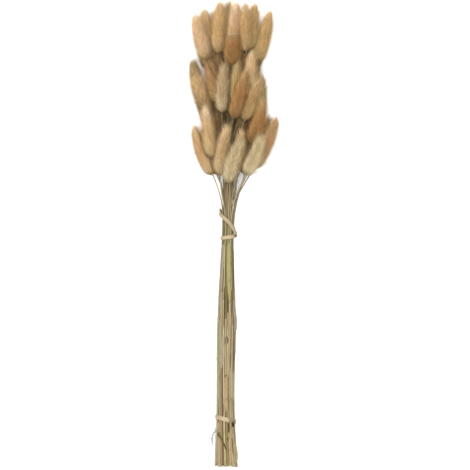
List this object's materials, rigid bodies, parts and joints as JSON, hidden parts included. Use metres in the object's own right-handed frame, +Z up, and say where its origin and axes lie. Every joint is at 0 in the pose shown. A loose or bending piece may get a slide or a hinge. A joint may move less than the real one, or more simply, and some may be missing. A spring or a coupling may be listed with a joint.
{
  "type": "dried bunny tail grass bunch",
  "caption": "Bunch of dried grass stalks with soft oval furry heads set in tiers, tied with flat bands at the waist and near the cut ends, lying on its side.",
  "frame": {"origin": "middle of the bunch's box, on the surface that it lies on", "axes": "+Y along the bunch towards the heads, +Z up from the surface, +X to the right seen from above with the heads away"},
  "size_m": [0.0854, 0.4504, 0.0639],
  "materials": {
    "dried_grass": "matte dry straw stem with a soft velvety head",
    "straw_band": "matte, straw coloured"
  },
  "bodies": {
    "root": {"stalk_low_1": "dried_grass", "stalk_low_2": "dried_grass", "stalk_low_3": "dried_grass", "stalk_low_4": "dried_grass", "stalk_low_5": "dried_grass", "stalk_low_6": "dried_grass", "stalk_low_7": "dried_grass", "stalk_low_10": "dried_grass", "stalk_low_11": "dried_grass", "stalk_low_12": "dried_grass", "stalk_low_13": "dried_grass", "stalk_low_14": "dried_grass", "stalk_low_15": "dried_grass", "stalk_mid_1": "dried_grass", "stalk_mid_2": "dried_grass", "stalk_mid_3": "dried_grass", "stalk_mid_4": "dried_grass", "stalk_mid_5": "dried_grass", "stalk_mid_6": "dried_grass", "stalk_mid_7": "dried_grass", "stalk_mid_8": "dried_grass", "stalk_mid_9": "dried_grass", "stalk_mid_10": "dried_grass", "stalk_mid_11": "dried_grass", "stalk_mid_12": "dried_grass", "stalk_mid_13": "dried_grass", "stalk_mid_14": "dried_grass", "stalk_mid_15": "dried_grass", "stalk_mid_20": "dried_grass", "stalk_mid_21": "dried_grass", "stalk_mid_22": "dried_grass", "stalk_top_1": "dried_grass", "stalk_top_2": "dried_grass", "stalk_top_3": "dried_grass", "stalk_top_4": "dried_grass", "stalk_top_5": "dried_grass", "stalk_top_6": "dried_grass", "stalk_top_7": "dried_grass", "stalk_top_8": "dried_grass", "stalk_top_9": "dried_grass", "stalk_top_10": "dried_grass", "stalk_top_11": "dried_grass", "stalk_top_12": "dried_grass", "stalk_top_13": "dried_grass", "stalk_top_14": "dried_grass", "stalk_top_20": "dried_grass", "stalk_top_21": "dried_grass", "upper_band": "straw_band", "lower_band": "straw_band"}
  },
  "joints": []
}
